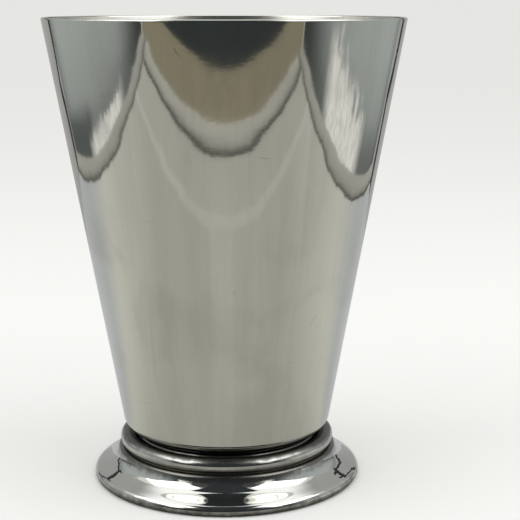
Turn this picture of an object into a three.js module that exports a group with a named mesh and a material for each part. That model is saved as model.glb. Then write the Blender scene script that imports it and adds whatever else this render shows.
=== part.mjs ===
// Footed metal cocktail cup: a drawn, tapered tumbler brazed onto the raised seat of a pressed foot,
// with a round bead ring slipped over the seat and brazed to the ledge below it.
// Millimetres, +Z up. The origin is on the axis, in the plane that the foot stands on.
import * as THREE from "three";

// Driving dimensions of the cup
const CUP_HEIGHT = 110; // table to the top of the lip
const RIM_RADIUS = 42.3; // outside of the tapered wall, carried up to the lip's height
const BASE_RADIUS = 24.5; // outside of the tapered wall, carried down to the cup's underside
const CUP_SHEET = 0.8; // wall and floor
const CUP_CORNER_RADIUS = 4.2; // outside of the bend between floor and wall

// Driving dimensions of the foot
const LEDGE_HEIGHT = 7.45; // table to the ledge that carries the bead ring
const SEAT_INSET = 2.4; // outside of the raised seat, inside the base of the cup that it carries
const SKIRT_FLARE = 6.6; // how far the skirt spreads beyond the flat of the ledge
const SHOULDER_LEAN = THREE.MathUtils.degToRad(14); // slope of the skirt's neck at its top, from upright
const LIP_STRAIGHT = 0.1; // upright band of the standing edge, between its two curves
const FLANGE_WIDTH = 2.6; // flat turned-in flange that stands on the table
const FOOT_SHEET = 0.7;
const INSIDE_BEND = 0.1; // inside radius of the foot's tight bends

// Driving dimensions of the bead ring and the two brazed joints
const BEAD_RADIUS = 1.8; // section of the ring
const BEAD_FLAT = 1.6; // width of the flat that the ring sits on
const BRAZE_THICKNESS = 0.2; // both joints
const CUP_BRAZE_WIDTH = 7; // the joint under the cup

// Clearances
const RING_CLEARANCE = 0.3; // bead ring to the raised seat that centres it
const CREST_CLEARANCE = 0.2; // top of the bead to the underside of the cup
const LEDGE_SETBACK = 0.25; // edge of the ledge's flat, inside the widest line of the bead
const BRAZE_SETBACK = 0.6; // braze to the edge of the flat that it wets

// Shape of the skirt's ogee: its tangent handles, as shares of its own rise
const OGEE_LOWER_PULL = 0.45;
const OGEE_UPPER_PULL = 0.76;

// Finishes
const POLISHED_STEEL = { color: 0xc9c8c2, roughness: 0.12, metalness: 1 };
const MIRROR_STEEL = { color: 0xcfd0cf, roughness: 0.06, metalness: 1 };
const BRAZE_ALLOY = { color: 0xb9a878, roughness: 0.45, metalness: 1 };

// Facets
const TURN_STEPS = 60; // round the axis
const LIP_STEPS = 3; // each half of the lip
const BEND_STEPS = 3;
const CORNER_STEPS = 6;
const OGEE_STEPS = 13;
const BEAD_STEPS = 14;

// Derived sizes
const footBend = FOOT_SHEET + INSIDE_BEND;
const seatRadius = BASE_RADIUS - SEAT_INSET;
const beadCentreRadius = seatRadius + RING_CLEARANCE + BEAD_RADIUS;
const beadFlatHeight = LEDGE_HEIGHT + BRAZE_THICKNESS;
const beadCentreHeight = beadFlatHeight + Math.sqrt(BEAD_RADIUS ** 2 - (BEAD_FLAT / 2) ** 2);
const ledgeRadius = beadCentreRadius + BEAD_RADIUS - LEDGE_SETBACK;
const footRadius = ledgeRadius + SKIRT_FLARE;
const undersideHeight = beadCentreHeight + BEAD_RADIUS + CREST_CLEARANCE;
const seatHeight = undersideHeight - BRAZE_THICKNESS;
const wallTaper = Math.atan2(RIM_RADIUS - BASE_RADIUS, CUP_HEIGHT - undersideHeight);

const quarter = Math.PI / 2;
const point = (radius, height) => new THREE.Vector2(radius, height);

// Points on an arc about (radius, height). Angles are in radians, counted from straight outwards.
function arc(radius, height, size, from, to, steps) {
  return new THREE.EllipseCurve(radius, height, size, size, from, to, to < from).getPoints(steps);
}

// The other face of a sheet: each point of the drawn face moves by the sheet's thickness along its mitre,
// to the left of the direction of drawing.
function otherFace(face, thickness) {
  const sideOf = (a, b) => b.clone().sub(a).normalize().rotateAround(point(0, 0), quarter);
  return face.map((corner, i) => {
    const before = i > 0 ? sideOf(face[i - 1], corner) : sideOf(corner, face[i + 1]);
    const after = i < face.length - 1 ? sideOf(corner, face[i + 1]) : before;
    const mitre = before.clone().add(after).normalize();
    return corner.clone().addScaledVector(mitre, thickness / mitre.dot(before));
  });
}

// A solid of revolution about the upright axis, from an outline drawn anticlockwise in radius and height.
function turned(name, outline, finish) {
  const geometry = new THREE.LatheGeometry(outline, TURN_STEPS).rotateX(quarter);
  const mesh = new THREE.Mesh(geometry, new THREE.MeshStandardMaterial(finish));
  mesh.name = name;
  return mesh;
}

// Cup body: flat floor, rounded corner, straight tapered wall and a rounded lip, all of one sheet.
function cupBody() {
  const cornerRadius = BASE_RADIUS
    - (CUP_CORNER_RADIUS * (1 - Math.sin(wallTaper))) / Math.cos(wallTaper);
  const cornerHeight = undersideHeight + CUP_CORNER_RADIUS;
  const halfSheet = CUP_SHEET / 2;
  const wallTop = CUP_HEIGHT - halfSheet * (1 + Math.sin(wallTaper));
  const outside = [
    point(0, undersideHeight),
    ...arc(cornerRadius, cornerHeight, CUP_CORNER_RADIUS, -quarter, -wallTaper, CORNER_STEPS),
    point(BASE_RADIUS + (wallTop - undersideHeight) * Math.tan(wallTaper), wallTop),
  ];
  const inside = otherFace(outside, CUP_SHEET);
  const lipCentre = outside.at(-1).clone().lerp(inside.at(-1), 0.5);
  const lipArc = (from, to) => arc(lipCentre.x, lipCentre.y, halfSheet, from, to, LIP_STEPS);
  const lip = [...lipArc(-wallTaper, quarter), ...lipArc(quarter, 2 * quarter - wallTaper).slice(1)];
  return turned("cup_body", [...outside, ...lip.slice(1, -1), ...inside.reverse()], POLISHED_STEEL);
}

// Pressed foot: a turned-in standing flange, an ogee skirt, the ledge for the bead ring and the raised seat.
function footPressing() {
  const bend = (radius, height, size, from, to) => arc(radius, height, size, from, to, BEND_STEPS);
  const shoulder = bend(ledgeRadius, LEDGE_HEIGHT - footBend, footBend, SHOULDER_LEAN, quarter);
  const skirtFoot = point(footRadius, footBend + LIP_STRAIGHT);
  const skirtHead = shoulder[0];
  const rise = skirtHead.y - skirtFoot.y;
  const headSlope = point(Math.sin(SHOULDER_LEAN), -Math.cos(SHOULDER_LEAN));
  const ogee = new THREE.CubicBezierCurve(
    skirtFoot,
    point(skirtFoot.x, skirtFoot.y + OGEE_LOWER_PULL * rise),
    skirtHead.clone().addScaledVector(headSlope, OGEE_UPPER_PULL * rise),
    skirtHead,
  );
  const outside = [
    point(footRadius - footBend - FLANGE_WIDTH, 0),
    ...bend(footRadius - footBend, footBend, footBend, -quarter, 0),
    ...ogee.getPoints(OGEE_STEPS),
    ...shoulder.slice(1),
    ...bend(seatRadius + INSIDE_BEND, LEDGE_HEIGHT + INSIDE_BEND, INSIDE_BEND, -quarter, -2 * quarter),
    ...bend(seatRadius - footBend, seatHeight - footBend, footBend, 0, quarter),
    point(0, seatHeight),
  ];
  const inside = otherFace(outside, FOOT_SHEET);
  return turned("foot_pressing", [...outside, ...inside.reverse(), outside[0]], MIRROR_STEEL);
}

// Bead ring: round wire with a narrow flat, brazed to the foot's ledge round the raised seat.
function beadRing() {
  const flatAngle = Math.asin(BEAD_FLAT / 2 / BEAD_RADIUS);
  const section = arc(beadCentreRadius, beadCentreHeight, BEAD_RADIUS,
    flatAngle - quarter, 3 * quarter - flatAngle, BEAD_STEPS);
  return turned("bead_ring", [...section, section[0]], MIRROR_STEEL);
}

// Braze: a flat ring of filler between two level faces.
function brazeRing(name, inner, outer, bottom, top) {
  const section = [point(inner, bottom), point(outer, bottom), point(outer, top), point(inner, top)];
  return turned(name, [...section, section[0]], BRAZE_ALLOY);
}

// Joins the flat of the bead ring to the foot's ledge.
function beadBraze() {
  const inner = beadCentreRadius - BEAD_FLAT / 2;
  return brazeRing("bead_braze", inner, inner + BEAD_FLAT, LEDGE_HEIGHT, beadFlatHeight);
}

// Joins the floor of the cup to the foot's raised seat.
function cupBraze() {
  const outer = seatRadius - footBend - BRAZE_SETBACK;
  return brazeRing("cup_braze", outer - CUP_BRAZE_WIDTH, outer, seatHeight, undersideHeight);
}

const cocktailCup = new THREE.Group();
cocktailCup.name = "cocktail_cup";
cocktailCup.add(cupBody(), footPressing(), beadRing(), beadBraze(), cupBraze());

export default cocktailCup;
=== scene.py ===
"""Looks of the footed metal cocktail cup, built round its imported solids.

Metres, +Z up. The origin is on the cup's axis, in the plane that the foot stands on.
"""
import math

import bpy
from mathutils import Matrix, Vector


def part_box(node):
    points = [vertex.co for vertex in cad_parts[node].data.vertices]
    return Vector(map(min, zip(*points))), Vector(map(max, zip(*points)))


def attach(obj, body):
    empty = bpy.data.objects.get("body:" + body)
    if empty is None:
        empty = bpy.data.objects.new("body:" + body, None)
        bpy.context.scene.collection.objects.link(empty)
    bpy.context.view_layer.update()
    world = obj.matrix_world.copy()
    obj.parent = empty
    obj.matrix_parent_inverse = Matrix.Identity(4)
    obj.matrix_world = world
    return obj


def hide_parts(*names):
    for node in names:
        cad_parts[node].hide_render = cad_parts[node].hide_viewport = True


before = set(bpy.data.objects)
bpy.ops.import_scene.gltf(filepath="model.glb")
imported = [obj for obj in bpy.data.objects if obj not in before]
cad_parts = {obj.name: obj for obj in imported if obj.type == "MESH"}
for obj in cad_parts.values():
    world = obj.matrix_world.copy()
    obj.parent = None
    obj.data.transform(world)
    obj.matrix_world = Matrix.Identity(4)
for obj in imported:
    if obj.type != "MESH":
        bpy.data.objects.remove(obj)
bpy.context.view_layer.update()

MM = 0.001
HALF_TURN = math.pi
QUARTER = HALF_TURN / 2

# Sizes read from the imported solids
cup_low, cup_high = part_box("cup_body")
_, foot_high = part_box("foot_pressing")
bead_low, bead_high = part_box("bead_ring")
bead_braze_low, bead_braze_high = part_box("bead_braze")
_, cup_braze_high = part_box("cup_braze")
lip_height = cup_high.z
rim_reach = cup_high.x
underside_height = cup_low.z
foot_radius = foot_high.x
seat_height = foot_high.z
bead_top = bead_high.z
bead_reach = bead_high.x
bead_flat_height = bead_low.z
ledge_height = bead_braze_low.z

# Driving dimensions that the solids' boxes don't give
CUP_SHEET = 0.8 * MM
CUP_CORNER_RADIUS = 4.2 * MM
BASE_RADIUS = 24.5 * MM  # tapered wall, carried down to the cup's underside
FOOT_SHEET = 0.7 * MM
FOOT_BEND = 0.8 * MM  # outside of the foot's tight bends
FOOT_CREASE = FOOT_BEND - FOOT_SHEET  # inside of them
SHOULDER_LEAN = math.radians(14)
LIP_STRAIGHT = 0.1 * MM
FLANGE_WIDTH = 2.6 * MM
SEAT_INSET = 2.4 * MM
LEDGE_SETBACK = 0.25 * MM
OGEE_LOWER_PULL = 0.45
OGEE_UPPER_PULL = 0.76
BEAD_RADIUS = 1.8 * MM
BEAD_FLAT = 1.6 * MM
CUP_BRAZE_WIDTH = 7 * MM
BRAZE_HOLLOW = 0.05 * MM  # how far the sides of the braze draw in

# Derived sizes
bead_centre_radius = bead_reach - BEAD_RADIUS
bead_centre_height = bead_top - BEAD_RADIUS
ledge_radius = bead_reach - LEDGE_SETBACK
seat_radius = BASE_RADIUS - SEAT_INSET

# Facets
TURN_STEPS = 360
WALL_ROWS = 40
FLAT_ROWS = 8
EDGE_ROWS = 3
BEND_STEPS = 8
CORNER_STEPS = 20
OGEE_STEPS = 44
BEAD_STEPS = 60
SUPPORT = 0.06 * MM  # the first and last row of a straight run lie this close to its ends
AXIS_CLEARANCE = 0.2 * MM  # but no row lies closer to the axis than this
SHORTEST_STRAIGHT = 4 * SUPPORT  # a shorter gap between two runs stays one face
WELD = 0.002 * MM
TAPER_ROUNDS = 4  # the taper and the top of the wall depend on each other, so they are found in rounds


# Drawing of sections, in radius and height

def arc(radius, height, size, start, end, steps):
    """Points on an arc about (radius, height). Angles are in radians, counted from straight outwards."""
    turns = [start + (end - start) * i / steps for i in range(steps + 1)]
    return [(radius + size * math.cos(t), height + size * math.sin(t)) for t in turns]


def straight(start, end, rows):
    """Points between two ends, without the ends. A supporting point lies close to each end off the axis."""
    run = math.dist(start, end)
    shares = [SUPPORT / run] + [i / rows for i in range(1, rows)] + [1 - SUPPORT / run]
    points = [(start[0] + (end[0] - start[0]) * s, start[1] + (end[1] - start[1]) * s) for s in shares]
    return [point for point in points if point[0] > AXIS_CLEARANCE]


def ogee(start, lower, upper, end, steps):
    """Points on a cubic curve with two tangent handles."""
    points = []
    for i in range(steps + 1):
        s = i / steps
        weights = ((1 - s) ** 3, 3 * s * (1 - s) ** 2, 3 * s * s * (1 - s), s ** 3)
        ends = (start, lower, upper, end)
        points.append(tuple(sum(w * p[k] for w, p in zip(weights, ends)) for k in (0, 1)))
    return points


def joined(*runs):
    """One path of several runs, which each go on from the end of the last, with straight runs between."""
    path = list(runs[0])
    for run in runs[1:]:
        if math.dist(path[-1], run[0]) > SHORTEST_STRAIGHT:
            path += straight(path[-1], run[0], FLAT_ROWS)
        path += run if math.dist(path[-1], run[0]) > WELD else run[1:]
    return path


def side_of(a, b):
    """Unit vector to the left of the direction from a to b."""
    run = math.dist(a, b)
    return (a[1] - b[1]) / run, (b[0] - a[0]) / run


def other_face(face, thickness):
    """The other face of a sheet, to the left of the direction in which its first face is drawn."""
    moved = []
    for i, here in enumerate(face):
        before = side_of(face[max(i - 1, 0)], face[max(i, 1)])
        after = side_of(here, face[i + 1]) if i + 1 < len(face) else before
        mitre = (before[0] + after[0], before[1] + after[1])
        reach = thickness / (mitre[0] * before[0] + mitre[1] * before[1])
        moved.append((here[0] + mitre[0] * reach, here[1] + mitre[1] * reach))
    return moved


def cup_section():
    """Floor, rounded corner, straight tapered wall and rounded lip. Returns the outer and the inner run."""
    half_sheet = CUP_SHEET / 2
    rise = lip_height - underside_height
    taper = math.atan2(rim_reach - BASE_RADIUS, rise)
    for _ in range(TAPER_ROUNDS):
        wall_top = lip_height - half_sheet * (1 + math.sin(taper))
        top_radius = rim_reach - half_sheet * (1 - math.cos(taper))
        taper = math.atan2(top_radius - BASE_RADIUS, wall_top - underside_height)
    corner_radius = BASE_RADIUS - CUP_CORNER_RADIUS * (1 - math.sin(taper)) / math.cos(taper)
    corner = arc(corner_radius, underside_height + CUP_CORNER_RADIUS, CUP_CORNER_RADIUS,
                 -QUARTER, -taper, CORNER_STEPS)
    wall_end = (top_radius, wall_top)
    floor = straight((0, underside_height), corner[0], FLAT_ROWS)
    outer = [(0, underside_height), *floor, *corner, *straight(corner[-1], wall_end, WALL_ROWS), wall_end]
    inner = other_face(outer, CUP_SHEET)
    lip_centre = [(a + b) / 2 for a, b in zip(outer[-1], inner[-1])]
    lip = arc(*lip_centre, half_sheet, -taper, HALF_TURN - taper, 2 * BEND_STEPS)
    return outer + lip[1:-1], inner[::-1]


def foot_section():
    """Standing flange, ogee skirt, ledge and raised seat. Returns the under face and the outer face."""
    shoulder = arc(ledge_radius, ledge_height - FOOT_BEND, FOOT_BEND, SHOULDER_LEAN, QUARTER, BEND_STEPS)
    skirt_foot = (foot_radius, FOOT_BEND + LIP_STRAIGHT)
    skirt_head = shoulder[0]
    rise = skirt_head[1] - skirt_foot[1]
    lower = (skirt_foot[0], skirt_foot[1] + OGEE_LOWER_PULL * rise)
    upper = (skirt_head[0] + OGEE_UPPER_PULL * rise * math.sin(SHOULDER_LEAN),
             skirt_head[1] - OGEE_UPPER_PULL * rise * math.cos(SHOULDER_LEAN))
    outer = joined(
        [(foot_radius - FOOT_BEND - FLANGE_WIDTH, 0)],
        arc(foot_radius - FOOT_BEND, FOOT_BEND, FOOT_BEND, -QUARTER, 0, BEND_STEPS),
        ogee(skirt_foot, lower, upper, skirt_head, OGEE_STEPS),
        shoulder,
        arc(seat_radius + FOOT_CREASE, ledge_height + FOOT_CREASE, FOOT_CREASE,
            -QUARTER, -HALF_TURN, BEND_STEPS),
        arc(seat_radius - FOOT_BEND, seat_height - FOOT_BEND, FOOT_BEND, 0, QUARTER, BEND_STEPS),
        [(0, seat_height)],
    )
    under = other_face(outer, FOOT_SHEET)
    edge = straight(under[0], outer[0], EDGE_ROWS)
    return under[::-1] + edge, outer


def bead_section():
    """Round wire with a narrow flat under it."""
    flat_angle = math.asin(BEAD_FLAT / 2 / BEAD_RADIUS)
    wire = arc(bead_centre_radius, bead_centre_height, BEAD_RADIUS,
               flat_angle - QUARTER, 3 * QUARTER - flat_angle, BEAD_STEPS)
    return wire + straight(wire[-1], wire[0], EDGE_ROWS) + wire[:1]


def braze_section(inner, outer, bottom, top):
    """A flat ring of filler, whose free sides draw in a little."""
    middle = (bottom + top) / 2
    half = (top - bottom) / 2
    size = (half ** 2 + BRAZE_HOLLOW ** 2) / (2 * BRAZE_HOLLOW)
    swing = math.asin(half / size)
    outside = arc(outer + size - BRAZE_HOLLOW, middle, size,
                  HALF_TURN + swing, HALF_TURN - swing, BEND_STEPS)
    inside = arc(inner - size + BRAZE_HOLLOW, middle, size, swing, -swing, BEND_STEPS)
    floor = straight(inside[-1], outside[0], EDGE_ROWS)
    crown = straight(outside[-1], inside[0], EDGE_ROWS)
    return outside + crown + inside + floor + outside[:1]


# Node helpers

def add(tree, kind, sockets=None, **settings):
    """A node with its settings. Each socket gets a number, or a link from another node's output."""
    made = tree.nodes.new(kind)
    for name, value in settings.items():
        setattr(made, name, value)
    for key, value in (sockets or {}).items():
        if isinstance(value, bpy.types.NodeSocket):
            tree.links.new(value, made.inputs[key])
        else:
            made.inputs[key].default_value = value
    return made


def maths(tree, operation, *values):
    """Output of a Math node."""
    return add(tree, "ShaderNodeMath", dict(enumerate(values)), operation=operation).outputs[0]


def whole_maths(tree, operation, *values):
    """Output of an Integer Math node."""
    return add(tree, "FunctionNodeIntegerMath", dict(enumerate(values)), operation=operation).outputs[0]


def new_tree(name, kind, inputs, outputs):
    """A node tree with named sockets, given as name and type, or name, type and value."""
    tree = bpy.data.node_groups.new(name, kind)
    for label, socket, *value in inputs:
        made = tree.interface.new_socket(label, in_out="INPUT", socket_type=socket)
        if value:
            made.default_value = value[0]
    for label, socket in outputs:
        tree.interface.new_socket(label, in_out="OUTPUT", socket_type=socket)
    return tree, tree.nodes.new("NodeGroupInput").outputs, tree.nodes.new("NodeGroupOutput").inputs


# Turning of pieces

def turning_tree():
    """Turns a section, drawn as a chain of points in the XZ plane, about the Z axis."""
    tree, given, made = new_tree(
        "turn_on_axis", "GeometryNodeTree",
        [("Section", "NodeSocketGeometry"), ("Turn Steps", "NodeSocketInt", TURN_STEPS),
         ("Weld Distance", "NodeSocketFloat", 0.0), ("Finish", "NodeSocketMaterial")],
        [("Piece", "NodeSocketGeometry")])
    tree.is_modifier = True
    section = given["Section"]
    count = add(tree, "GeometryNodeAttributeDomainSize", {"Geometry": section}, component="MESH")
    rows = count.outputs["Point Count"]
    columns = whole_maths(tree, "ADD", given["Turn Steps"], 1)
    grid = add(tree, "GeometryNodeMeshGrid", {"Vertices X": columns, "Vertices Y": rows})
    index = add(tree, "GeometryNodeInputIndex").outputs[0]
    row = whole_maths(tree, "MODULO", index, rows)
    column = whole_maths(tree, "DIVIDE_FLOOR", index, rows)
    share = maths(tree, "DIVIDE", column, given["Turn Steps"])
    angle = maths(tree, "MULTIPLY", share, 2 * HALF_TURN)
    place = add(tree, "GeometryNodeInputPosition").outputs[0]
    drawn = add(tree, "GeometryNodeSampleIndex",
                {"Geometry": section, "Index": row}, data_type="FLOAT_VECTOR", domain="POINT")
    tree.links.new(place, drawn.inputs["Value"])
    drawn = add(tree, "ShaderNodeSeparateXYZ", {"Vector": drawn.outputs["Value"]}).outputs
    turned_place = add(tree, "ShaderNodeCombineXYZ", {
        "X": maths(tree, "MULTIPLY", drawn["X"], maths(tree, "COSINE", angle)),
        "Y": maths(tree, "MULTIPLY", drawn["X"], maths(tree, "SINE", angle)),
        "Z": drawn["Z"]}).outputs[0]
    shaped = add(tree, "GeometryNodeSetPosition",
                 {"Geometry": grid.outputs["Mesh"], "Position": turned_place})
    hidden = add(tree, "GeometryNodeInputNamedAttribute", {"Name": "hidden_side"}, data_type="FLOAT")
    side = add(tree, "GeometryNodeSampleIndex",
               {"Geometry": section, "Index": row}, data_type="FLOAT", domain="POINT")
    tree.links.new(hidden.outputs["Attribute"], side.inputs["Value"])
    stored = add(tree, "GeometryNodeStoreNamedAttribute",
                 {"Geometry": shaped.outputs[0], "Name": "hidden_side"}, data_type="FLOAT", domain="POINT")
    tree.links.new(side.outputs["Value"], stored.inputs["Value"])
    welded = add(tree, "GeometryNodeMergeByDistance",
                 {"Geometry": stored.outputs[0], "Distance": given["Weld Distance"]})
    smooth = add(tree, "GeometryNodeSetShadeSmooth", {"Geometry": welded.outputs[0]})
    real = add(tree, "GeometryNodeRealizeInstances", {"Geometry": smooth.outputs[0]})
    finished = add(tree, "GeometryNodeSetMaterial",
                   {"Geometry": real.outputs[0], "Material": given["Finish"]})
    tree.links.new(finished.outputs[0], made["Piece"])
    return tree


turn_on_axis = turning_tree()
turn_sockets = {s.name: s.identifier for s in turn_on_axis.interface.items_tree}


def turned(name, section, finish, hidden=()):
    """A turned piece. The points in hidden go on from the section, on a side that is out of sight."""
    points = [*section, *hidden]
    chain = bpy.data.meshes.new(name)
    chain.from_pydata([(r, 0, z) for r, z in points], [(i, i + 1) for i in range(len(points) - 1)], [])
    side = chain.attributes.new("hidden_side", "FLOAT", "POINT")
    side.data.foreach_set("value", [0.0] * len(section) + [1.0] * len(hidden))
    piece = bpy.data.objects.new(name, chain)
    bpy.context.scene.collection.objects.link(piece)
    turning = piece.modifiers.new("turning", "NODES")
    turning.node_group = turn_on_axis
    turning[turn_sockets["Turn Steps"]] = TURN_STEPS
    turning[turn_sockets["Weld Distance"]] = WELD
    turning[turn_sockets["Finish"]] = finish
    evaluated = piece.evaluated_get(bpy.context.evaluated_depsgraph_get())
    solid = bpy.data.meshes.new_from_object(evaluated)
    piece.modifiers.remove(turning)
    piece.data = solid
    solid.name = name
    return piece


# Finishes shared by the steel pieces

NOISE_MIDDLE = 0.5
SMEAR_EDGES = (0.48, 0.72)  # a smear begins and is full at these values of its noise
SCRATCH_EDGES = (0.60, 0.68)  # and so do the patches that have scratches
RESIDUE_AND_SHADE_EDGES = (0.1, 1.0)  # shares of its reach over which grime and painted shade thin out
RING_DRIFT = 0.02  # how much the turning rings drift sideways


def polish_group():
    """Unevenness that polishing leaves: a fine grain and long shallow waves, as a height in metres."""
    tree, given, made = new_tree(
        "polish_unevenness", "ShaderNodeTree",
        [("Vector", "NodeSocketVector"), ("Grain Scale", "NodeSocketFloat", 1500.0),
         ("Grain Depth", "NodeSocketFloat", 0.0), ("Wave Scale", "NodeSocketFloat", 100.0),
         ("Wave Depth", "NodeSocketFloat", 0.0)],
        [("Height", "NodeSocketFloat")])
    grain = add(tree, "ShaderNodeTexNoise",
                {"Vector": given["Vector"], "Scale": given["Grain Scale"], "Detail": 1.0})
    wave = add(tree, "ShaderNodeTexNoise",
               {"Vector": given["Vector"], "Scale": given["Wave Scale"], "Detail": 1.0})
    height = maths(tree, "ADD",
                   maths(tree, "MULTIPLY", grain.outputs[0], given["Grain Depth"]),
                   maths(tree, "MULTIPLY", wave.outputs[0], given["Wave Depth"]))
    tree.links.new(height, made["Height"])
    return tree


def handling_group():
    """Marks of use: cloudy smears from hands and cloths, and hairline scratches."""
    tree, given, made = new_tree(
        "handling_marks", "ShaderNodeTree",
        [("Vector", "NodeSocketVector"), ("Smear Scale", "NodeSocketFloat", 45.0),
         ("Scratch Scale", "NodeSocketFloat", 70.0), ("Scratch Width", "NodeSocketFloat", 0.004)],
        [("Smear", "NodeSocketFloat"), ("Scratch", "NodeSocketFloat")])
    cloud = add(tree, "ShaderNodeTexNoise",
                {"Vector": given["Vector"], "Scale": given["Smear Scale"], "Detail": 5.0, "Distortion": 0.6})
    smear = add(tree, "ShaderNodeMapRange",
                {"Value": cloud.outputs[0], "From Min": SMEAR_EDGES[0], "From Max": SMEAR_EDGES[1]},
                interpolation_type="SMOOTHSTEP")
    lines = add(tree, "ShaderNodeTexNoise",
                {"Vector": given["Vector"], "Scale": given["Scratch Scale"],
                 "Detail": 0.0, "Distortion": 0.4})
    off_line = maths(tree, "ABSOLUTE", maths(tree, "SUBTRACT", lines.outputs[0], NOISE_MIDDLE))
    hair = add(tree, "ShaderNodeMapRange",
               {"Value": off_line, "From Min": 0.0, "From Max": given["Scratch Width"],
                "To Min": 1.0, "To Max": 0.0})
    patch = add(tree, "ShaderNodeTexNoise", {"Vector": given["Vector"], "Scale": 230.0, "Detail": 1.0})
    shown = add(tree, "ShaderNodeMapRange",
                {"Value": patch.outputs[0], "From Min": SCRATCH_EDGES[0], "From Max": SCRATCH_EDGES[1]})
    scratch = maths(tree, "MULTIPLY", hair.outputs[0], shown.outputs[0])
    tree.links.new(smear.outputs[0], made["Smear"])
    tree.links.new(scratch, made["Scratch"])
    return tree


def lathe_group():
    """Fine rings round the axis, as turning and brushing leave them, from 0 to 1."""
    tree, given, made = new_tree(
        "turning_lines", "ShaderNodeTree",
        [("Vector", "NodeSocketVector"), ("Lines per Metre", "NodeSocketFloat", 2500.0)],
        [("Lines", "NodeSocketFloat")])
    place = add(tree, "ShaderNodeSeparateXYZ", {"Vector": given["Vector"]}).outputs
    radius = maths(tree, "SQRT", maths(tree, "ADD",
                                       maths(tree, "MULTIPLY", place["X"], place["X"]),
                                       maths(tree, "MULTIPLY", place["Y"], place["Y"])))
    drift = maths(tree, "MULTIPLY", place["X"], RING_DRIFT)
    ring = add(tree, "ShaderNodeCombineXYZ", {"X": radius, "Y": drift, "Z": place["Z"]})
    lines = add(tree, "ShaderNodeTexNoise",
                {"Vector": ring.outputs[0], "Scale": given["Lines per Metre"], "Detail": 3.0})
    tree.links.new(lines.outputs[0], made["Lines"])
    return tree


def streak_group():
    """Long fine streaks up the wall, as polishing along the taper leaves them, from 0 to 1."""
    tree, given, made = new_tree(
        "polishing_streaks", "ShaderNodeTree",
        [("Vector", "NodeSocketVector"), ("Girth", "NodeSocketFloat", 0.03),
         ("Streaks per Metre", "NodeSocketFloat", 1500.0), ("Stretch", "NodeSocketFloat", 12.0)],
        [("Streak", "NodeSocketFloat")])
    place = add(tree, "ShaderNodeSeparateXYZ", {"Vector": given["Vector"]}).outputs
    flat = add(tree, "ShaderNodeCombineXYZ", {"X": place["X"], "Y": place["Y"]}).outputs[0]
    facing = add(tree, "ShaderNodeVectorMath", {0: flat}, operation="NORMALIZE").outputs[0]
    around = add(tree, "ShaderNodeVectorMath", {0: facing, "Scale": given["Girth"]}, operation="SCALE")
    around = add(tree, "ShaderNodeSeparateXYZ", {"Vector": around.outputs[0]}).outputs
    along = maths(tree, "DIVIDE", place["Z"], given["Stretch"])
    drawn_out = add(tree, "ShaderNodeCombineXYZ", {"X": around["X"], "Y": around["Y"], "Z": along})
    lines = add(tree, "ShaderNodeTexNoise",
                {"Vector": drawn_out.outputs[0], "Scale": given["Streaks per Metre"], "Detail": 3.0})
    tree.links.new(lines.outputs[0], made["Streak"])
    return tree


def residue_and_shade_group():
    """Grime and painted shade round a joint or an edge at one height, from 0 to 1: the shade that falls in a
    groove or under an edge is painted in as a darker band.
    """
    tree, given, made = new_tree(
        "joint_residue_and_shade", "ShaderNodeTree",
        [("Vector", "NodeSocketVector"), ("Joint Height", "NodeSocketFloat", 0.0),
         ("Reach", "NodeSocketFloat", 0.001)],
        [("Residue And Shade", "NodeSocketFloat")])
    place = add(tree, "ShaderNodeSeparateXYZ", {"Vector": given["Vector"]}).outputs
    off = maths(tree, "ABSOLUTE", maths(tree, "SUBTRACT", place["Z"], given["Joint Height"]))
    patchy = add(tree, "ShaderNodeTexNoise", {"Vector": given["Vector"], "Scale": 420.0, "Detail": 4.0})
    share = maths(tree, "ADD", maths(tree, "DIVIDE", off, given["Reach"]),
                  maths(tree, "SUBTRACT", patchy.outputs[0], NOISE_MIDDLE))
    close = add(tree, "ShaderNodeMapRange",
                {"Value": share, "From Min": RESIDUE_AND_SHADE_EDGES[0], "From Max": RESIDUE_AND_SHADE_EDGES[1],
                 "To Min": 1.0, "To Max": 0.0}, interpolation_type="SMOOTHSTEP")
    tree.links.new(close.outputs[0], made["Residue And Shade"])
    return tree


polish_unevenness = polish_group()
handling_marks = handling_group()
turning_lines = lathe_group()
polishing_streaks = streak_group()
joint_residue_and_shade = residue_and_shade_group()


def effect(tree, group, sockets):
    """Outputs of a shared finish placed in a material, with its values."""
    return add(tree, "ShaderNodeGroup", sockets, node_tree=group).outputs


def blend(tree, share, first, second):
    """A colour between two colours."""
    made = add(tree, "ShaderNodeMix", {0: share, 6: first, 7: second}, data_type="RGBA")
    return made.outputs[2]


def new_material(name):
    """An empty material with its output and the piece's own coordinates."""
    material = bpy.data.materials.new(name)
    material.use_nodes = True
    tree = material.node_tree
    tree.nodes.clear()
    output = tree.nodes.new("ShaderNodeOutputMaterial")
    place = tree.nodes.new("ShaderNodeTexCoord").outputs["Object"]
    return material, tree, output, place


def cover(tree, output, kind, sockets):
    """The shader that a material ends in."""
    surface = add(tree, kind, sockets)
    tree.links.new(surface.outputs[0], output.inputs["Surface"])


# dark colour of scratches, of grime and of the painted shade at joints and edges
DARK_MARK_AND_SHADE_COLOUR = (0.085, 0.081, 0.07)
STRIPE_WEIGHT = 2.0  # broad stripes against fine streaks
STREAK_MIDDLE = 1.3  # streaks and stripes below this sum leave the clear colour
STREAK_TINT = 0.9
SCRATCH_TINT = 0.3
SMEAR_ROUGHNESS = 0.035
SCRATCH_ROUGHNESS = 0.12
RING_ROUGHNESS = 0.12
RESIDUE_AND_SHADE_ROUGHNESS = 0.25
RING_DEPTH = 0.000014  # metres


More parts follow.
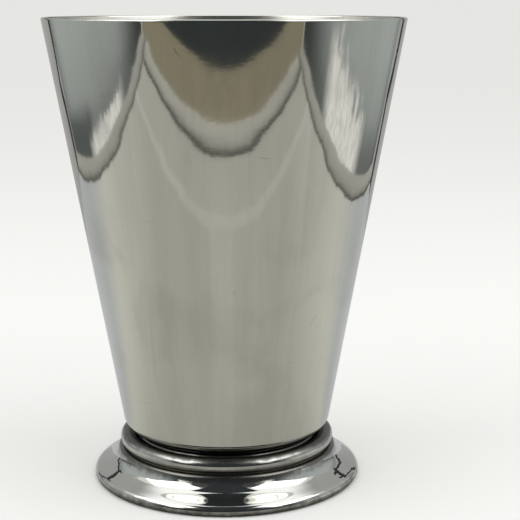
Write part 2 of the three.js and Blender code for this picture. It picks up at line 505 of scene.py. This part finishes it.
def steel(name, colour, smear_colour, shown_roughness, hidden_roughness, grain_depth, streak_depth,
          wave_depth, joints):
    """Polished stainless steel, with a duller turned finish out of sight, and grime and painted shade at its
    joints and edges.

    Depths are in metres. The joints and edges are given as height, reach and strength.
    """
    material, tree, output, place = new_material(name)
    dark_mark_and_shade_tint = (*DARK_MARK_AND_SHADE_COLOUR, 1)
    uneven = effect(tree, polish_unevenness, {
        "Vector": place, "Grain Scale": 1400.0, "Grain Depth": grain_depth,
        "Wave Scale": 90.0, "Wave Depth": wave_depth})
    marks = effect(tree, handling_marks, {"Vector": place})
    rings = effect(tree, turning_lines, {"Vector": place, "Lines per Metre": 1300.0})
    streak = effect(tree, polishing_streaks, {"Vector": place})["Streak"]
    stripe = effect(tree, polishing_streaks,
                    {"Vector": place, "Streaks per Metre": 190.0, "Stretch": 24.0})["Streak"]
    hidden = add(tree, "ShaderNodeAttribute", attribute_name="hidden_side").outputs["Fac"]
    shown = maths(tree, "SUBTRACT", 1.0, hidden)
    banded = maths(tree, "ADD", streak, maths(tree, "MULTIPLY", stripe, STRIPE_WEIGHT))
    banded = maths(tree, "SUBTRACT", banded, STREAK_MIDDLE)
    cloudy = maths(tree, "MULTIPLY_ADD", banded, STREAK_TINT, marks["Smear"])
    tint = blend(tree, cloudy, (*colour, 1), (*smear_colour, 1))
    tint = blend(tree, maths(tree, "MULTIPLY", marks["Scratch"], SCRATCH_TINT), tint, dark_mark_and_shade_tint)
    rough = maths(tree, "MULTIPLY_ADD", marks["Smear"], SMEAR_ROUGHNESS, shown_roughness)
    rough = maths(tree, "MULTIPLY_ADD", marks["Scratch"], SCRATCH_ROUGHNESS, rough)
    dull = maths(tree, "MULTIPLY_ADD", rings["Lines"], RING_ROUGHNESS, hidden_roughness)
    rough = add(tree, "ShaderNodeMix", {0: hidden, 2: rough, 3: dull}, data_type="FLOAT").outputs[0]
    # each band darkens the colour as grime and as painted shade in its groove or under its edge
    for height, reach, strength in joints:
        gathered = effect(tree, joint_residue_and_shade, {"Vector": place, "Joint Height": height, "Reach": reach})
        residue_and_shade = maths(tree, "MULTIPLY", gathered["Residue And Shade"], maths(tree, "MULTIPLY", shown, strength))
        tint = blend(tree, residue_and_shade, tint, dark_mark_and_shade_tint)
        rough = maths(tree, "MULTIPLY_ADD", residue_and_shade, RESIDUE_AND_SHADE_ROUGHNESS, rough)
    ring_height = maths(tree, "MULTIPLY", maths(tree, "MULTIPLY", rings["Lines"], hidden), RING_DEPTH)
    streak_height = maths(tree, "MULTIPLY", maths(tree, "MULTIPLY", streak, shown), streak_depth)
    relief = maths(tree, "ADD", uneven["Height"], maths(tree, "ADD", ring_height, streak_height))
    bump = add(tree, "ShaderNodeBump", {"Height": relief, "Distance": 1.0, "Strength": 1.0})
    cover(tree, output, "ShaderNodeBsdfPrincipled", {
        "Base Color": tint, "Metallic": 1.0, "Roughness": rough, "Normal": bump.outputs[0]})
    return material


BRAZE_ROUGHNESS = 0.3
SKIN_ROUGHNESS = 0.3  # what the grain of the skin adds to it


def braze_alloy(name, colour, oxide):
    """Silver braze filler: a satin skin with patches of darker oxide."""
    material, tree, output, place = new_material(name)
    skin = add(tree, "ShaderNodeTexNoise", {"Vector": place, "Scale": 900.0, "Detail": 4.0}).outputs[0]
    stain = add(tree, "ShaderNodeTexNoise", {"Vector": place, "Scale": 220.0, "Detail": 3.0}).outputs[0]
    tint = blend(tree, stain, (*colour, 1), (*oxide, 1))
    rough = maths(tree, "MULTIPLY_ADD", skin, SKIN_ROUGHNESS, BRAZE_ROUGHNESS)
    bump = add(tree, "ShaderNodeBump", {"Height": skin, "Distance": 0.00002, "Strength": 0.6})
    cover(tree, output, "ShaderNodeBsdfPrincipled", {
        "Base Color": tint, "Metallic": 1.0, "Roughness": rough, "Normal": bump.outputs[0]})
    return material


# bands of grime and painted shade, as height, reach and strength: the grooves at the cup's underside, the
# ledge, the bead's flat and top and the seat are darkened where shade falls, and the standing edge at height
# 0 carries a painted contact shadow
cup_joints = [(underside_height, 1.6 * MM, 0.8)]
foot_joints = [(ledge_height, 2.2 * MM, 0.85), (0, 2.4 * MM, 1.0), (seat_height, 2.5 * MM, 0.8)]
bead_joints = [(bead_flat_height, 2.4 * MM, 0.5), (bead_top, 1.25 * MM, 0.9)]
cup_polish = steel(
    "cup_polish", colour=(0.605, 0.605, 0.56), smear_colour=(0.53, 0.53, 0.49),
    shown_roughness=0.05, hidden_roughness=0.20,
    grain_depth=1.2e-6, streak_depth=2.4e-6, wave_depth=50e-6, joints=cup_joints)
foot_polish = steel(
    "foot_polish", colour=(0.62, 0.62, 0.60), smear_colour=(0.57, 0.57, 0.55),
    shown_roughness=0.03, hidden_roughness=0.30,
    grain_depth=0.9e-6, streak_depth=0.4e-6, wave_depth=40e-6, joints=foot_joints)
bead_polish = steel(
    "bead_polish", colour=(0.54, 0.54, 0.52), smear_colour=(0.47, 0.47, 0.45),
    shown_roughness=0.10, hidden_roughness=0.30,
    grain_depth=3e-6, streak_depth=0.4e-6, wave_depth=30e-6, joints=bead_joints)
braze_skin = braze_alloy("braze_skin", colour=(0.33, 0.30, 0.23), oxide=(0.08, 0.075, 0.065))


# Pieces

def put_in_frame(piece, node):
    """The piece rides on the cup's one body and stands for a solid."""
    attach(piece, "root")
    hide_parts(node)


cup_outer, cup_inner = cup_section()
put_in_frame(turned("cup_shell", cup_outer, cup_polish, hidden=cup_inner), "cup_body")

foot_under, foot_outer = foot_section()
foot_shell = turned("foot_shell", foot_outer[::-1], foot_polish, hidden=foot_under[::-1])
foot_shell.data.flip_normals()
put_in_frame(foot_shell, "foot_pressing")

put_in_frame(turned("bead_wire", bead_section(), bead_polish), "bead_ring")

bead_seam = braze_section(bead_centre_radius - BEAD_FLAT / 2, bead_braze_high.x,
                          ledge_height, bead_flat_height)
put_in_frame(turned("bead_seam", bead_seam, braze_skin), "bead_braze")

cup_seam = braze_section(cup_braze_high.x - CUP_BRAZE_WIDTH, cup_braze_high.x,
                         seat_height, underside_height)
put_in_frame(turned("cup_seam", cup_seam, braze_skin), "cup_braze")


# Stage: a plain pale floor, and the cloths and flags of a light tent as glowing panels and cloths painted
# with light and shade, which only the metal shows, as painted reflections

FLOOR_COLOUR = (0.88, 0.88, 0.865)
FLOOR_REACH = 800.0
FLOOR_DROP = 0.0001  # below the foot

# Plan of the tent, with x to the right and y away from the camera
TENT_LEFT = -0.236
TENT_RIGHT = 0.213
TENT_FRONT = -0.195
TENT_BACK = 0.250
TENT_RADIUS = 0.8  # of its rounded top
WALL_HEIGHT = 0.17
LIFT = 0.0004  # between layers of cloth
HEM_WIDTH = 0.034  # of the side hems at the back
CORNER_HEM_WIDTH = 0.023  # of the side hems at the front
FRONT_HEM_WIDTH = 0.0255
HEM_WAVER = 0.0011
FRONT_HEM_WAVER = 0.00055
OUTER_WAVER = 0.5  # share of the waver at the outer edge
HEM_WAVES = [(1.0, 0.017, 0), (0.6, 0.0071, 1), (0.4, 0.0034, 0)]  # size, length and start of each
CREASE_PLACE = -0.145
CREASE_WIDTH = 0.010
POST_HEIGHT = 0.20
POST_WIDTH = 0.028
POST_JAG = 0.011
POST_WAVES = [(1.0, 7.0, 0), (0.6, 2.3, 1)]  # size, turn for each step and start of each
FRONT_POST_WIDTH = 0.009
FRONT_POST_JAG = 0.002
BAR_HEIGHTS = (0.162, 0.18)
ROOM_REACH = 0.45
ROOM_FRONT = -0.273
ROOM_HEIGHT = 0.14
OPENING = (-0.13, 0.11)  # gap between the two lamps, seen from the cup
OPENING_FRONT = -0.36
OPENING_BACK = -0.07
OPENING_HEIGHT = 0.32
HEM_STEPS = 160
POST_STEPS = 14
DOME_ROWS = 10
DOME_COLUMNS = 48

# Floor of the tent, whose tone is painted light and shade. Bearings are in half turns from straight ahead
SHADED_FRONT_CLOTH = (0.52, 0.515, 0.475)  # in painted shade, in front of the cup
LIT_SIDE_CLOTH = (0.72, 0.715, 0.665)  # painted paler by light, beside it
COOL_LIT_REAR_CLOTH = (0.59, 0.605, 0.625)  # painted cooler light, behind it
SIDE_TURN = (0.28, 0.58)  # the cloth is painted paler between these bearings,
REAR_TURN = (0.53, 0.66)  # and cooler between these,
CLOTH_SHADE_FADE = (0.10, 0.20)  # and painted darker, as shade, between these distances, by the loss
CLOTH_SHADE_LOSS = 0.11
FOLD_LIGHT_GAIN = 1.02  # the crease's painted light and the painted shadows have the front cloth's colour, times these
LEFT_SHADOW_GAIN = 0.87
RIGHT_SHADOW_GAIN = 0.91
TONE_EDGE = 0.1  # distance across a strip at which its tone begins
FAN_REACH = (0.030, 0.149)
FAN_DEPTHS = (0.35, 1.0)  # share of the shadow at the near and the far end of its reach
LEFT_FAN = [(-66, 0), (-52, 1), (-40, 1), (-13, 0.6), (-9, 0)]  # bearing in degrees, and share
RIGHT_FAN = [(2.5, 0), (6.5, 0.7), (32, 1), (42, 1), (58, 0)]

# Glowing side walls, with painted light and shade by height and by the place along them
WALL_GREYS = [(0, 0.2), (0.01, 0.27), (0.02, 0.38), (0.032, 0.45),
              (0.055, 0.52), (0.10, 0.54), (0.17, 0.58)]
WALL_TINT = (0.94, 1.0, 0.99)
FRONT_SHADE_TONE = (0.06, 0.065, 0.066)
LEFT_FRONT_SHADE = (-0.22, -0.10)  # the walls come out of this shade between these places
RIGHT_FRONT_SHADE = (-0.22, -0.06)
BACK_SHADE_TONE = (0.10, 0.11, 0.11)
CORNER_SHADE = (0.15, 0.30)  # they go into this shade between these places,
CORNER_DEPTH = 0.8
LOW_SHADE = (0.02, 0.06)  # and low down between these,
LOW_SHADE_HEIGHTS = (0.028, 0.014)  # from the first of these heights down
LEFT_LOW_DEPTH = 0.8
RIGHT_LOW_DEPTH = 0.2
PATCH_FRONT = -0.12  # the lit patches at the foot of the walls begin and end here
PATCH_BACK = 0.09
PATCH_FADES = (0.04, 0.05)  # length of the soft ends
PATCH_EDGE = (1.0, 0.65)  # share of the patch's height over which it comes up
PATCH_RAG = 1.1  # how far its upper edge is torn
PATCH_DIM = (0.78, 0.77, 0.75)
PATCH_BRIGHT = (1.12, 1.10, 1.07)
MOTTLE_EDGES = (0.3, 0.7)
LEFT_PATCH_HEIGHTS = (0.011, 0.011)  # at the front and at the back
RIGHT_PATCH_HEIGHTS = (0.045, 0.028)

# Glowing hems, with painted shade by the distance across them, and the tent's glowing top, by bearing
SIDE_HEM_GREYS = [(0, 0.07), (0.09, 0.10), (0.26, 0.36), (0.5, 0.46), (1, 0.50)]
FRONT_HEM_GREYS = [(0, 0.06), (0.12, 0.09), (0.32, 0.40), (0.55, 0.52), (1, 0.56)]
HEM_TINT = (1.02, 1.0, 0.92)
# grey of the glowing top by bearing: painted shade in front and between the lamps, painted light where they
# shine
TENT_GREYS = [(0, 0.04), (0.20, 0.05), (0.24, 0.8), (0.44, 0.75), (0.452, 0.03),
              (0.482, 0.03), (0.5, 0.60), (0.6, 0.50), (0.66, 0.25), (1, 0.22)]
TENT_TINT = (1.0, 1.0, 0.96)
TENT_UNEVEN = 0.25
TENT_STRENGTH = 2.0
CROWN_TONE = (0.78, 0.78, 0.77)
CROWN_RISE = (0.72, 0.88)  # share of the top's radius over which the crown takes over


def matt(name, colour):
    """A stage surface without gloss."""
    material, tree, output, _ = new_material(name)
    cover(tree, output, "ShaderNodeBsdfDiffuse", {"Color": (*colour, 1)})
    return material


def glow(name, colour):
    """A stage panel that glows evenly, as a painted reflection."""
    material, tree, output, _ = new_material(name)
    cover(tree, output, "ShaderNodeEmission", {"Color": (*colour, 1), "Strength": 1.0})
    return material


def grey_ramp(tree, share, stops, tint):
    """A tinted grey that follows a share from 0 to 1, given as share and grey."""
    ramp = add(tree, "ShaderNodeValToRGB", {"Fac": share})
    band = ramp.color_ramp
    while len(band.elements) < len(stops):
        band.elements.new(1.0)
    for element, (place, grey) in zip(band.elements, stops):
        element.position = place
        element.color = (*[grey * part for part in tint], 1)
    return ramp.outputs[0]


def hem_glow(name, stops):
    """A glowing hem, with painted shade that darkens it into the seam at its inner edge."""
    material, tree, output, _ = new_material(name)
    across = add(tree, "ShaderNodeAttribute", attribute_name="across").outputs["Fac"]
    cloth = grey_ramp(tree, across, stops, HEM_TINT)
    cover(tree, output, "ShaderNodeEmission", {"Color": cloth, "Strength": 1.0})
    return material


def fade(tree, value, start, end):
    """A smooth step from 0 at one value to 1 at another."""
    if start > end:
        return maths(tree, "SUBTRACT", 1.0, fade(tree, value, end, start))
    made = add(tree, "ShaderNodeMapRange", {"Value": value, "From Min": start, "From Max": end},
               interpolation_type="SMOOTHSTEP")
    return made.outputs[0]


def wall_glow(name, patch_heights, front_shade, low_depth):
    """A glowing side wall, painted darker low down and in painted shade at its front, at its back corner and
    low down behind the cup.

    A painted lit patch lies at its foot, with one height at its front and another at its back.
    """
    material, tree, output, spot = new_material(name)
    place = add(tree, "ShaderNodeSeparateXYZ", {"Vector": spot}).outputs
    along, up = place["Y"], place["Z"]
    greys = [(height / WALL_HEIGHT, grey) for height, grey in WALL_GREYS]
    cloth = grey_ramp(tree, maths(tree, "DIVIDE", up, WALL_HEIGHT), greys, WALL_TINT)
    cloth = blend(tree, fade(tree, along, *front_shade), (*FRONT_SHADE_TONE, 1), cloth)
    low = maths(tree, "MULTIPLY", fade(tree, up, *LOW_SHADE_HEIGHTS), low_depth)
    low = maths(tree, "MULTIPLY", fade(tree, along, *LOW_SHADE), low)
    corner = maths(tree, "MULTIPLY", fade(tree, along, *CORNER_SHADE), CORNER_DEPTH)
    cloth = blend(tree, maths(tree, "MAXIMUM", corner, low), cloth, (*BACK_SHADE_TONE, 1))
    front, back = patch_heights
    share = fade(tree, along, PATCH_FRONT, PATCH_BACK)
    top = maths(tree, "MULTIPLY_ADD", share, back - front, front)
    broken = add(tree, "ShaderNodeTexNoise", {"Vector": spot, "Scale": 75.0, "Detail": 3.0}).outputs[0]
    broken = maths(tree, "SUBTRACT", broken, NOISE_MIDDLE)
    ragged = maths(tree, "MULTIPLY_ADD", broken, PATCH_RAG, maths(tree, "DIVIDE", up, top))
    inside = maths(tree, "MULTIPLY",
                   fade(tree, along, PATCH_FRONT, PATCH_FRONT + PATCH_FADES[0]),
                   fade(tree, along, PATCH_BACK, PATCH_BACK - PATCH_FADES[1]))
    inside = maths(tree, "MULTIPLY", inside, fade(tree, ragged, *PATCH_EDGE))
    mottle = add(tree, "ShaderNodeTexNoise", {"Vector": spot, "Scale": 210.0, "Detail": 3.0}).outputs[0]
    lit = blend(tree, fade(tree, mottle, *MOTTLE_EDGES), (*PATCH_DIM, 1), (*PATCH_BRIGHT, 1))
    cloth = blend(tree, inside, cloth, lit)
    cover(tree, output, "ShaderNodeEmission", {"Color": cloth, "Strength": 1.0})
    return material


def half_turns(tree, place):
    """Bearing of a place round the axis, from 0 straight ahead to 1 straight behind."""
    ahead = maths(tree, "MULTIPLY", place["Y"], -1.0)
    turn = maths(tree, "ARCTAN2", maths(tree, "ABSOLUTE", place["X"]), ahead)
    return maths(tree, "DIVIDE", turn, HALF_TURN)


def tent_glow(name, stops):
    """The tent's glowing top, a painted reflection of uneven cloth whose grey follows the bearing from
    straight ahead: bright where the lamps light it, dark where it lies in shade, with a pale crown overhead.
    """
    material, tree, output, spot = new_material(name)
    place = add(tree, "ShaderNodeSeparateXYZ", {"Vector": spot}).outputs
    uneven = add(tree, "ShaderNodeTexNoise", {"Vector": spot, "Scale": 9.0, "Detail": 4.0}).outputs[0]
    uneven = maths(tree, "MULTIPLY", maths(tree, "SUBTRACT", uneven, NOISE_MIDDLE), TENT_UNEVEN)
    share = maths(tree, "ADD", half_turns(tree, place), uneven)
    crown = fade(tree, maths(tree, "DIVIDE", place["Z"], TENT_RADIUS), *CROWN_RISE)
    cloth = blend(tree, crown, grey_ramp(tree, share, stops, TENT_TINT), (*CROWN_TONE, 1))
    cover(tree, output, "ShaderNodeEmission", {"Color": cloth, "Strength": TENT_STRENGTH})
    return material


def cloth_tone(name, middle, gain):
    """The front cloth, with its colour raised by painted light on a fold, or lowered by a painted shadow,
    where its across value is that of the middle.
    """
    material, tree, output, _ = new_material(name)
    across = add(tree, "ShaderNodeAttribute", attribute_name="across").outputs["Fac"]
    off = maths(tree, "ABSOLUTE", maths(tree, "SUBTRACT", across, middle))
    raised = [part * gain for part in SHADED_FRONT_CLOTH]
    colour = blend(tree, fade(tree, off, middle, TONE_EDGE), (*SHADED_FRONT_CLOTH, 1), (*raised, 1))
    cover(tree, output, "ShaderNodeBsdfDiffuse", {"Color": colour})
    return material


def floor_cloth_light_and_shade(name):
    """The cloth that the tent stands on, with painted light and shade: paler beside the cup, cooler behind
    it and darker far off.
    """
    material, tree, output, spot = new_material(name)
    place = add(tree, "ShaderNodeSeparateXYZ", {"Vector": spot}).outputs
    bearing = half_turns(tree, place)
    colour = blend(tree, fade(tree, bearing, *SIDE_TURN), (*SHADED_FRONT_CLOTH, 1), (*LIT_SIDE_CLOTH, 1))
    colour = blend(tree, fade(tree, bearing, *REAR_TURN), colour, (*COOL_LIT_REAR_CLOTH, 1))
    distance = add(tree, "ShaderNodeVectorMath", {0: spot}, operation="LENGTH").outputs["Value"]
    far = maths(tree, "MULTIPLY", fade(tree, distance, *CLOTH_SHADE_FADE), CLOTH_SHADE_LOSS)
    colour = blend(tree, far, colour, (0, 0, 0, 1))
    cover(tree, output, "ShaderNodeBsdfDiffuse", {"Color": colour})
    return material


def panel(name, corners, faces, material):
    """A stage panel that only the metal shows."""
    mesh = bpy.data.meshes.new(name)
    mesh.from_pydata(corners, [], faces)
    mesh.materials.append(material)
    made = bpy.data.objects.new(name, mesh)
    bpy.context.scene.collection.objects.link(made)
    made.visible_camera = False
    made.visible_diffuse = False
    made.visible_shadow = False
    return made


def level(name, x, y, z, material):
    """A level panel between two x and two y values."""
    corners = [(x[0], y[0], z), (x[1], y[0], z), (x[1], y[1], z), (x[0], y[1], z)]
    return panel(name, corners, [(0, 1, 2, 3)], material)


def upright(name, start, end, z, material):
    """An upright panel over the line from start to end, between two heights."""
    corners = [(*start, z[0]), (*end, z[0]), (*end, z[1]), (*start, z[1])]
    panel(name, corners, [(0, 1, 2, 3)], material)


def strip(name, corners, material, across=()):
    """A strip of panels. Its corners are given in pairs along it, with a value across it for each."""
    steps = len(corners) // 2 - 1
    made = panel(name, corners, [(2 * i, 2 * i + 1, 2 * i + 3, 2 * i + 2) for i in range(steps)], material)
    if across:
        values = made.data.attributes.new("across", "FLOAT", "POINT")
        values.data.foreach_set("value", across)


def hem(name, start, end, widths, material, waver=HEM_WAVER):
    """A level hem whose inner edge runs from start to end and wavers a little, with its cloth on the right.

    It has one width at its start and another at its end.
    """
    run = math.dist(start, end)
    ahead = [(b - a) / run for a, b in zip(start, end)]
    corners = []
    for i in range(HEM_STEPS + 1):
        s = run * i / HEM_STEPS
        drift = waver * sum(size * math.sin(s / length + begin) for size, length, begin in HEM_WAVES)
        width = widths[0] + (widths[1] - widths[0]) * i / HEM_STEPS
        for offset in (drift, width + OUTER_WAVER * drift):
            corners.append((start[0] + ahead[0] * s + ahead[1] * offset,
                            start[1] + ahead[1] * s - ahead[0] * offset, LIFT))
    strip(name, corners, material, [0.0, 1.0] * (HEM_STEPS + 1))


def shadow_fan(name, bearings, material):
    """A painted soft shadow, a darker strip of cloth on the floor in front of the cup.

    It is given as bearings in degrees from straight ahead, each with its share of the shadow.
    """
    corners = []
    shares = []
    for bearing, share in bearings:
        slope = math.tan(math.radians(bearing))
        corners += [(reach * slope, -reach, LIFT / 2) for reach in FAN_REACH]
        shares += [share * depth for depth in FAN_DEPTHS]
    strip(name, corners, material, shares)


def dome(name, radius, material):
    """The tent's rounded top, down to the floor."""
    corners = []
    for row in range(DOME_ROWS + 1):
        rise = QUARTER * row / DOME_ROWS
        ring = radius * math.cos(rise)
        for column in range(DOME_COLUMNS):
            turn = 2 * HALF_TURN * column / DOME_COLUMNS
            corners.append((ring * math.sin(turn), ring * math.cos(turn), radius * math.sin(rise)))
    faces = []
    for row in range(DOME_ROWS):
        below = row * DOME_COLUMNS
        above = below + DOME_COLUMNS
        for column in range(DOME_COLUMNS):
            ahead = (column + 1) % DOME_COLUMNS
            faces.append((below + column, below + ahead, above + ahead, above + column))
    panel(name, corners, faces, material)


def post_line(name, start, end, width, jag, material):
    """A narrow upright strip from start to end that zigzags sideways."""
    corners = []
    for i in range(POST_STEPS + 1):
        share = i / POST_STEPS
        drift = jag * sum(size * math.sin(turn * i + begin) for size, turn, begin in POST_WAVES)
        x, y, z = (a + (b - a) * share for a, b in zip(start, end))
        corners += [(x + drift - width / 2, y, z), (x + drift + width / 2, y, z)]
    strip(name, corners, material)


floor_reach = (-FLOOR_REACH, FLOOR_REACH)
floor = level("studio_floor", floor_reach, floor_reach, -FLOOR_DROP, matt("floor_paper", FLOOR_COLOUR))
floor.visible_camera = True
floor.visible_diffuse = True
floor.visible_shadow = True

side_hem_glow = hem_glow("side_hem_glow", SIDE_HEM_GREYS)
front_hem_glow = hem_glow("front_hem_glow", FRONT_HEM_GREYS)
# the crease strip carries painted light along the fold
crease_painted_light = cloth_tone("crease_painted_light", middle=0.5, gain=FOLD_LIGHT_GAIN)
left_shadow = cloth_tone("left_shadow", middle=1.0, gain=LEFT_SHADOW_GAIN)
right_shadow = cloth_tone("right_shadow", middle=1.0, gain=RIGHT_SHADOW_GAIN)
# glowing panels that only the metal shows, as painted reflections: a khaki table, the dark room in front as
# painted shade, and the tent's posts
table_khaki_glow = glow("table_khaki_glow", (0.325, 0.290, 0.215))
room_shade_glow = glow("room_shade_glow", (0.045, 0.052, 0.055))
post_dark_glow = glow("post_dark_glow", (0.05, 0.05, 0.05))
left_wall_glow = wall_glow("left_wall_glow", LEFT_PATCH_HEIGHTS, LEFT_FRONT_SHADE, LEFT_LOW_DEPTH)
right_wall_glow = wall_glow("right_wall_glow", RIGHT_PATCH_HEIGHTS, RIGHT_FRONT_SHADE, RIGHT_LOW_DEPTH)
back_wall_glow = glow("back_wall_glow", (0.45, 0.45, 0.44))
tent_top_glow = tent_glow("tent_top_glow", TENT_GREYS)
post_pale_glow = glow("post_pale_glow", (0.62, 0.62, 0.58))

hem_left = TENT_LEFT - HEM_WIDTH
hem_right = TENT_RIGHT + HEM_WIDTH
hem_front = TENT_FRONT - FRONT_HEM_WIDTH
left_corner = (TENT_LEFT - CORNER_HEM_WIDTH, hem_front)
right_corner = (TENT_RIGHT + CORNER_HEM_WIDTH, hem_front)
wall = (0, WALL_HEIGHT)
hem("hem_left", (TENT_LEFT, TENT_BACK), (TENT_LEFT, hem_front), (HEM_WIDTH, CORNER_HEM_WIDTH), side_hem_glow)
hem("hem_right", (TENT_RIGHT, hem_front), (TENT_RIGHT, TENT_BACK), (CORNER_HEM_WIDTH, HEM_WIDTH), side_hem_glow)
hem("hem_front", (TENT_LEFT, TENT_FRONT), (TENT_RIGHT, TENT_FRONT), (FRONT_HEM_WIDTH, FRONT_HEM_WIDTH),
    front_hem_glow, FRONT_HEM_WAVER)
level("tent_floor", (hem_left, hem_right), (hem_front, TENT_BACK), LIFT / 4, floor_cloth_light_and_shade("tent_cloth_light_and_shade"))
shadow_fan("shadow_left", LEFT_FAN, left_shadow)
shadow_fan("shadow_right", RIGHT_FAN, right_shadow)
hem("crease_front", (TENT_LEFT, CREASE_PLACE), (TENT_RIGHT, CREASE_PLACE), (CREASE_WIDTH, CREASE_WIDTH),
    crease_painted_light)
upright("wall_left", left_corner, (hem_left, TENT_BACK), wall, left_wall_glow)
upright("wall_right", right_corner, (hem_right, TENT_BACK), wall, right_wall_glow)
dome("tent_top_glow", TENT_RADIUS, tent_top_glow)
upright("wall_back", (hem_left, TENT_BACK), (hem_right, TENT_BACK), wall, back_wall_glow)
post_place = TENT_BACK - LIFT
upright("bar_back", (hem_left, post_place), (hem_right, post_place), BAR_HEIGHTS, post_dark_glow)
for name, x in (("left", TENT_LEFT - POST_WIDTH / 2), ("right", TENT_RIGHT - POST_WIDTH / 2)):
    post_line("post_" + name, (x, post_place, 0), (x, post_place, POST_HEIGHT),
              POST_WIDTH, POST_JAG, post_dark_glow)
for name, (x, y) in (("left", left_corner), ("right", right_corner)):
    post_line("front_post_" + name, (x, y + LIFT, 0), (x, y + LIFT, WALL_HEIGHT),
              FRONT_POST_WIDTH, FRONT_POST_JAG, post_pale_glow)
level("table_front", (-ROOM_REACH, ROOM_REACH), (ROOM_FRONT, hem_front), LIFT, table_khaki_glow)
upright("room_front", (-ROOM_REACH, ROOM_FRONT), (ROOM_REACH, ROOM_FRONT), (0, ROOM_HEIGHT), room_shade_glow)
upright("room_opening", (OPENING[0], OPENING_FRONT), (OPENING[1], OPENING_FRONT),
        (ROOM_HEIGHT / 2, OPENING_HEIGHT), room_shade_glow)
level("room_top", OPENING, (OPENING_FRONT, OPENING_BACK), OPENING_HEIGHT, room_shade_glow)


# Light, camera and view

def softbox(name, place, target, size, power):
    """A soft rectangular lamp that faces a point."""
    lamp = bpy.data.lights.new(name, "AREA")
    lamp.shape = "RECTANGLE"
    lamp.size, lamp.size_y = size
    lamp.energy = power
    made = bpy.data.objects.new(name, lamp)
    bpy.context.scene.collection.objects.link(made)
    made.location = place
    facing = [t - p for t, p in zip(target, place)]
    flat = math.hypot(facing[0], facing[1])
    made.rotation_euler = (QUARTER + math.atan2(facing[2], flat), 0, math.atan2(-facing[0], facing[1]))
    made.visible_camera = False


DAYLIGHT = 0.9
DAYLIGHT_COLOUR = (1.0, 1.0, 0.99)
LAMP_POWER = 0.8
LAMP_SIZE = (0.52, 0.30)
LAMP_TARGET = (0, 0, 0.03)
LEFT_LAMP_PLACE = (-0.42, -0.16, 0.44)
RIGHT_LAMP_PLACE = (0.40, -0.16, 0.44)
softbox("softbox_left", LEFT_LAMP_PLACE, LAMP_TARGET, LAMP_SIZE, LAMP_POWER)
softbox("softbox_right", RIGHT_LAMP_PLACE, LAMP_TARGET, LAMP_SIZE, LAMP_POWER)

world = bpy.data.worlds.new("studio_air")
bpy.context.scene.world = world
world.use_nodes = True
air = world.node_tree
air.nodes.clear()
daylight = add(air, "ShaderNodeBackground", {"Color": (*DAYLIGHT_COLOUR, 1), "Strength": DAYLIGHT})
backdrop = add(air, "ShaderNodeBackground", {"Color": (*FLOOR_COLOUR, 1), "Strength": DAYLIGHT})
path = add(air, "ShaderNodeLightPath").outputs
seen = maths(air, "MAXIMUM", path["Is Camera Ray"], path["Is Glossy Ray"])
seen = maths(air, "MAXIMUM", seen, path["Is Transmission Ray"])
mixed = add(air, "ShaderNodeMixShader", {0: seen, 1: daylight.outputs[0], 2: backdrop.outputs[0]})
air.links.new(mixed.outputs[0], air.nodes.new("ShaderNodeOutputWorld").inputs["Surface"])

CAMERA_PLACE = (0, -0.3085, 0.11384)
CAMERA_TURN = math.radians(1.52)  # to the right
CAMERA_DIP = math.radians(11.25)
CAMERA_LENS = 90.46  # millimetres, as is the sensor
CAMERA_SENSOR = 36
CAMERA_NEAR = 0.01
camera = bpy.data.objects.new("camera", bpy.data.cameras.new("camera"))
bpy.context.scene.collection.objects.link(camera)
camera.location = CAMERA_PLACE
camera.rotation_euler = (QUARTER - CAMERA_DIP, 0, -CAMERA_TURN)
camera.data.sensor_width = CAMERA_SENSOR
camera.data.lens = CAMERA_LENS
camera.data.clip_start = CAMERA_NEAR
bpy.context.scene.camera = camera
bpy.context.scene.view_settings.view_transform = "Standard"
